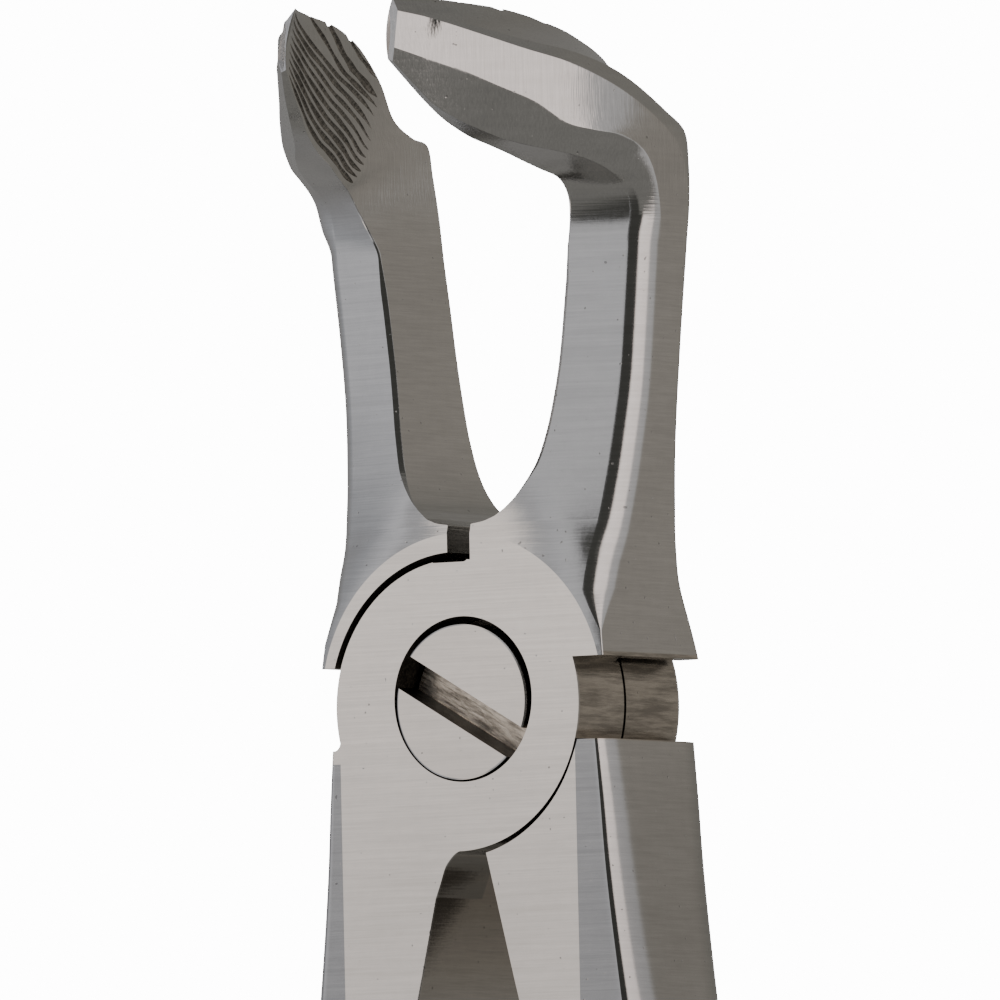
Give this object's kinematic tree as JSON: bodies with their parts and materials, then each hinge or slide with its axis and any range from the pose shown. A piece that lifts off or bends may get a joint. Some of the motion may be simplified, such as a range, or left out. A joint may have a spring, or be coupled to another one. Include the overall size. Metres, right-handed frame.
{
  "type": "dental extraction forceps",
  "caption": "Lower molar extraction forceps: crossed steel halves in a lap joint on a slotted pivot screw, with beaks bent forward.",
  "frame": {"origin": "on the pivot axis, in the plane of the joint's flat rear face", "axes": "+Z from the handles towards the beaks, +Y out of the rear face along the pivot axis, +X towards the jaw that is forged with the front lap plate; the beaks bend towards -Y"},
  "size_m": [0.0622, 0.0195, 0.1701],
  "materials": {
    "satin_steel_front": "satin ground",
    "satin_steel_rear": "satin ground",
    "screw_steel": "ground"
  },
  "bodies": {
    "rear_lever": {"rear_half": "satin_steel_rear", "pivot_screw": "screw_steel"},
    "front_lever": {"front_half": "satin_steel_front"}
  },
  "joints": [
    {"name": "jaw_pivot", "type": "hinge", "parent": "rear_lever", "child": "front_lever", "pos_m": [0, 0, 0], "axis": [0, 1, 0], "range_deg": [-8.5, 26]}
  ]
}
